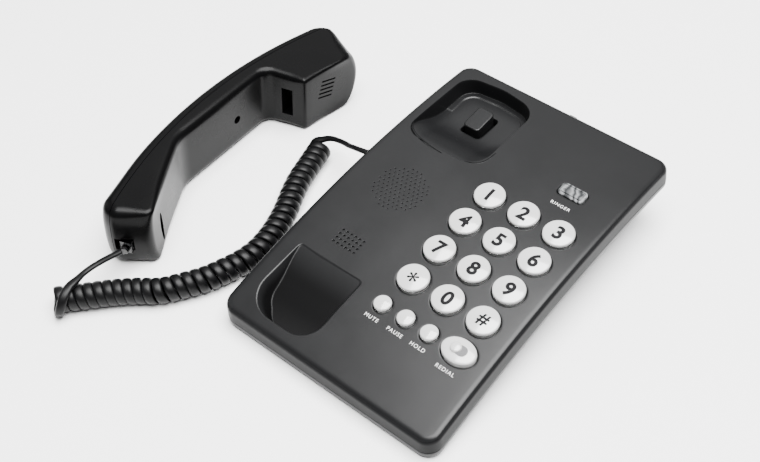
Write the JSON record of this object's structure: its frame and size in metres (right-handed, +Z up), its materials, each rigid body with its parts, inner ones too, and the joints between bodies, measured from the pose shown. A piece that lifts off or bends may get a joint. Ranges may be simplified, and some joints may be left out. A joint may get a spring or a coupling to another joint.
{
  "type": "push-button desk telephone",
  "caption": "Corded desk telephone with a sloped base, round push-buttons, wells for the handset, a hook switch and a ringer lamp; the handset lies beside it on a curly cord.",
  "frame": {"origin": "middle of the footprint of base and handset together, on the table, measured without the free cord", "axes": "+X to the user's right, +Y towards the back of the base, +Z up"},
  "size_m": [0.2373, 0.2583, 0.0425],
  "materials": {
    "black_shell": "fine satin moulded plastic",
    "inner_black": "plain moulded plastic",
    "key_white": "pearl white gloss plastic",
    "clear_plastic": "clear plastic",
    "cord_black": "smooth flexible cord jacket",
    "foot_rubber": "matt rubber",
    "mat_rubber": "grey silicone rubber",
    "steel": "bright zinc-plated steel",
    "board": "green laminate",
    "lamp_red": "red tinted plastic"
  },
  "bodies": {
    "base": {"top_cover": "black_shell", "bottom_cover": "black_shell", "rear_leg_left": "black_shell", "rear_leg_right": "black_shell", "ringer_speaker": "inner_black", "hook_contacts": "inner_black", "handset_jack": "inner_black", "line_jack": "inner_black", "ringer_lamp_lens": "clear_plastic", "cord_plug_base": "clear_plastic", "cord_lead_base": "cord_black", "cord_coil": "cord_black", "cord_lead_handset": "cord_black", "front_foot_left": "foot_rubber", "front_foot_right": "foot_rubber", "rear_foot_left": "foot_rubber", "rear_foot_right": "foot_rubber", "keypad_mat": "mat_rubber", "cover_screw_1": "steel", "cover_screw_2": "steel", "cover_screw_3": "steel", "cover_screw_4": "steel", "cover_screw_5": "steel", "base_microphone": "steel", "hook_axle": "steel", "circuit_board": "board", "ringer_lamp": "lamp_red"},
    "key_1_cap": {"key_1": "key_white"},
    "key_2_cap": {"key_2": "key_white"},
    "key_3_cap": {"key_3": "key_white"},
    "key_4_cap": {"key_4": "key_white"},
    "key_5_cap": {"key_5": "key_white"},
    "key_6_cap": {"key_6": "key_white"},
    "key_7_cap": {"key_7": "key_white"},
    "key_8_cap": {"key_8": "key_white"},
    "key_9_cap": {"key_9": "key_white"},
    "key_star_cap": {"key_star": "key_white"},
    "key_0_cap": {"key_0": "key_white"},
    "key_hash_cap": {"key_hash": "key_white"},
    "mute_press": {"mute_button": "key_white"},
    "pause_press": {"pause_button": "key_white"},
    "hold_press": {"hold_button": "key_white"},
    "redial_press": {"redial_button": "key_white"},
    "hook": {"hook_lever": "black_shell"},
    "loudness_switch": {"ringer_switch": "inner_black"},
    "handset": {"handset_front": "black_shell", "handset_back": "black_shell", "receiver_capsule": "inner_black", "microphone_capsule": "steel", "handset_weight": "steel", "handset_cord_jack": "inner_black", "handset_screw": "steel", "cord_plug_handset": "clear_plastic"}
  },
  "joints": [
    {"name": "key_1_press", "type": "slide", "parent": "base", "child": "key_1_cap", "axis": [0, 0.1262, -0.992], "range_m": [0, 0.0015], "stiffness_N_per_m": 300},
    {"name": "key_2_press", "type": "slide", "parent": "base", "child": "key_2_cap", "axis": [0, 0.1262, -0.992], "range_m": [0, 0.0015], "stiffness_N_per_m": 300},
    {"name": "key_3_press", "type": "slide", "parent": "base", "child": "key_3_cap", "axis": [0, 0.1262, -0.992], "range_m": [0, 0.0015], "stiffness_N_per_m": 300},
    {"name": "key_4_press", "type": "slide", "parent": "base", "child": "key_4_cap", "axis": [0, 0.1262, -0.992], "range_m": [0, 0.0015], "stiffness_N_per_m": 300},
    {"name": "key_5_press", "type": "slide", "parent": "base", "child": "key_5_cap", "axis": [0, 0.1262, -0.992], "range_m": [0, 0.0015], "stiffness_N_per_m": 300},
    {"name": "key_6_press", "type": "slide", "parent": "base", "child": "key_6_cap", "axis": [0, 0.1262, -0.992], "range_m": [0, 0.0015], "stiffness_N_per_m": 300},
    {"name": "key_7_press", "type": "slide", "parent": "base", "child": "key_7_cap", "axis": [0, 0.1262, -0.992], "range_m": [0, 0.0015], "stiffness_N_per_m": 300},
    {"name": "key_8_press", "type": "slide", "parent": "base", "child": "key_8_cap", "axis": [0, 0.1262, -0.992], "range_m": [0, 0.0015], "stiffness_N_per_m": 300},
    {"name": "key_9_press", "type": "slide", "parent": "base", "child": "key_9_cap", "axis": [0, 0.1262, -0.992], "range_m": [0, 0.0015], "stiffness_N_per_m": 300},
    {"name": "key_star_press", "type": "slide", "parent": "base", "child": "key_star_cap", "axis": [0, 0.1262, -0.992], "range_m": [0, 0.0015], "stiffness_N_per_m": 300},
    {"name": "key_0_press", "type": "slide", "parent": "base", "child": "key_0_cap", "axis": [0, 0.1262, -0.992], "range_m": [0, 0.0015], "stiffness_N_per_m": 300},
    {"name": "key_hash_press", "type": "slide", "parent": "base", "child": "key_hash_cap", "axis": [0, 0.1262, -0.992], "range_m": [0, 0.0015], "stiffness_N_per_m": 300},
    {"name": "mute_button_press", "type": "slide", "parent": "base", "child": "mute_press", "axis": [0, 0.1262, -0.992], "range_m": [0, 0.0015], "stiffness_N_per_m": 300},
    {"name": "pause_button_press", "type": "slide", "parent": "base", "child": "pause_press", "axis": [0, 0.1262, -0.992], "range_m": [0, 0.0015], "stiffness_N_per_m": 300},
    {"name": "hold_button_press", "type": "slide", "parent": "base", "child": "hold_press", "axis": [0, 0.1262, -0.992], "range_m": [0, 0.0015], "stiffness_N_per_m": 300},
    {"name": "redial_button_press", "type": "slide", "parent": "base", "child": "redial_press", "axis": [0, 0.1262, -0.992], "range_m": [0, 0.0015], "stiffness_N_per_m": 300},
    {"name": "hook_turn", "type": "hinge", "parent": "base", "child": "hook", "pos_m": [0.01407, 0.04879, 0.02375], "axis": [1, 0, 0], "range_deg": [-6.5, 0], "stiffness_Nm_per_rad": 0.1},
    {"name": "loudness_slide", "type": "slide", "parent": "base", "child": "loudness_switch", "axis": [1, 0, 0], "range_m": [-0.002, 0.002]},
    {"name": "handset_lift", "type": "slide", "parent": "base", "child": "handset", "axis": [0, 0, 1], "range_m": [0, 0.1]}
  ]
}
